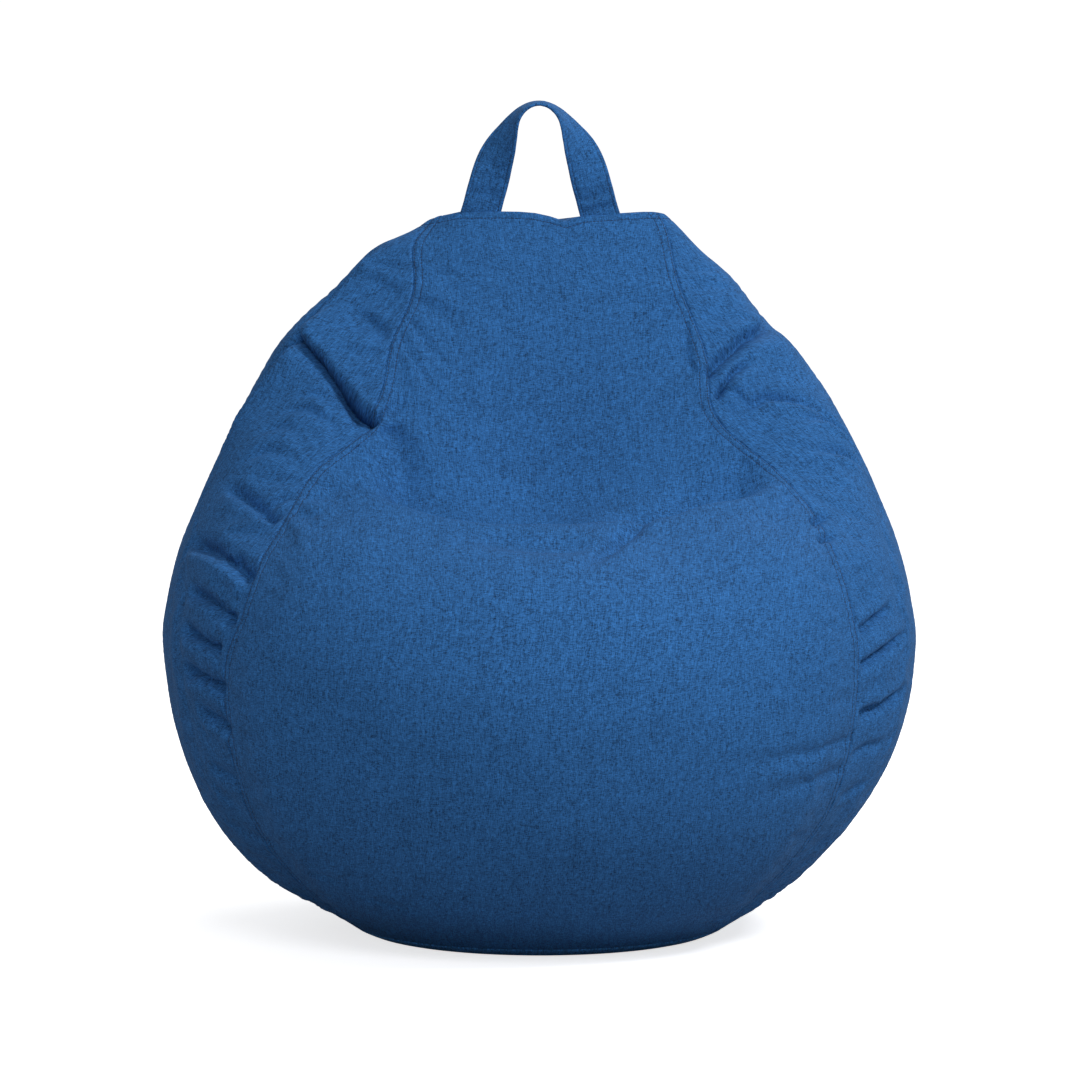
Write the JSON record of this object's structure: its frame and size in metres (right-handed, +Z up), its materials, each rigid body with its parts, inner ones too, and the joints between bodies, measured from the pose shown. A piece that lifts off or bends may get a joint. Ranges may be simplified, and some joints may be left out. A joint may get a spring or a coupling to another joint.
{
  "type": "bean bag chair",
  "caption": "Teardrop bean bag chair with a pinched seat and backrest, a carrying handle on top, a long back zip and a zipped liner full of beads.",
  "frame": {"origin": "middle of the flat footprint, on the floor", "axes": "+Z up, -Y the side the sitter faces, X across the seat"},
  "size_m": [0.7998, 0.7819, 0.885],
  "materials": {
    "cover_cloth": "woven melange, dry, with a faint sheen",
    "base_cloth": "woven, darker and denser",
    "zip_tape": "fine woven tape",
    "zip_coil": "satin nylon coil",
    "zip_metal": "satin die-cast metal",
    "liner_cloth": "thin non-woven cloth",
    "liner_tape": "fine woven tape",
    "liner_coil": "satin nylon coil",
    "beads": "expanded polystyrene beads"
  },
  "bodies": {
    "bag": {"cover_front_panel": "cover_cloth", "cover_left_panel": "cover_cloth", "cover_right_panel": "cover_cloth", "cover_back_left_panel": "cover_cloth", "cover_back_right_panel": "cover_cloth", "cover_top_panel": "cover_cloth", "cover_base_panel": "base_cloth", "zip_tape_left": "zip_tape", "zip_tape_right": "zip_tape", "zip_coil_left": "zip_coil", "zip_coil_right": "zip_coil", "zip_top_stops": "zip_metal", "zip_bottom_stop": "zip_metal", "zip_end_tabs": "cover_cloth", "liner_body": "liner_cloth", "liner_base": "liner_cloth", "liner_top": "liner_cloth", "liner_zip_tapes": "liner_tape", "liner_zip_coils": "liner_coil", "liner_zip_stops": "zip_metal", "bead_fill": "beads"},
    "handle": {"handle_strap": "cover_cloth"},
    "zip_slider": {"zip_slider": "zip_metal"},
    "zip_pull": {"zip_pull": "zip_metal"},
    "liner_zip_slider": {"liner_zip_slider": "zip_metal"}
  },
  "joints": [
    {"name": "handle_swing", "type": "hinge", "parent": "bag", "child": "handle", "pos_m": [0, 0.032, 0.772], "axis": [1, 0, 0], "range_deg": [-70, 120], "stiffness_Nm_per_rad": 0.004},
    {"name": "zip_slide", "type": "hinge", "parent": "bag", "child": "zip_slider", "pos_m": [0, 0.06, 0.296], "axis": [1, 0, 0], "range_deg": [-74, 0]},
    {"name": "pull_flip", "type": "hinge", "parent": "zip_slider", "child": "zip_pull", "pos_m": [0, 0.32249, 0.50108], "axis": [1, 0, 0], "range_deg": [0, 160]},
    {"name": "liner_zip_slide", "type": "hinge", "parent": "bag", "child": "liner_zip_slider", "pos_m": [0, 0.06, 0.296], "axis": [1, 0, 0], "range_deg": [-47, 0]}
  ]
}
